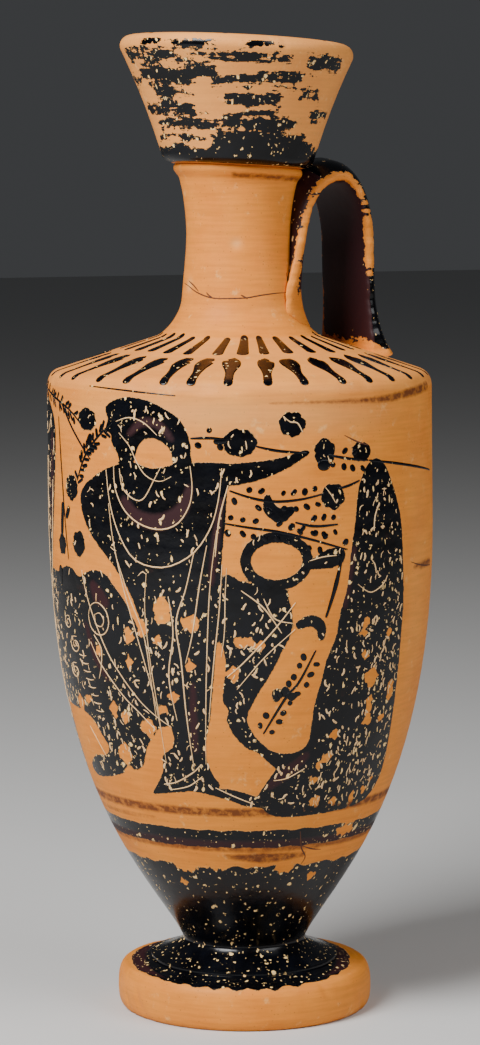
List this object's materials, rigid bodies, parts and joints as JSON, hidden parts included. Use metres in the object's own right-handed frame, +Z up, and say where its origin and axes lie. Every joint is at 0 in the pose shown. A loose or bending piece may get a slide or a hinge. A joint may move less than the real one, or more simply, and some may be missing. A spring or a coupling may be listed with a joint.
{
  "type": "lekythos",
  "caption": "Slender pottery oil bottle with a flaring cup mouth, narrow neck, flat sloping shoulder, tapering body, disc foot and one strap handle from neck to shoulder.",
  "frame": {"origin": "middle of the foot's standing surface, under the middle of the body", "axes": "+Z up along the vessel's axis, +X from the axis towards the handle"},
  "size_m": [0.1073, 0.107, 0.2713],
  "materials": {
    "painted_clay": "orange fired clay, part covered with glossy black slip, flaked and worn"
  },
  "bodies": {
    "root": {"lekythos": "painted_clay"}
  },
  "joints": []
}
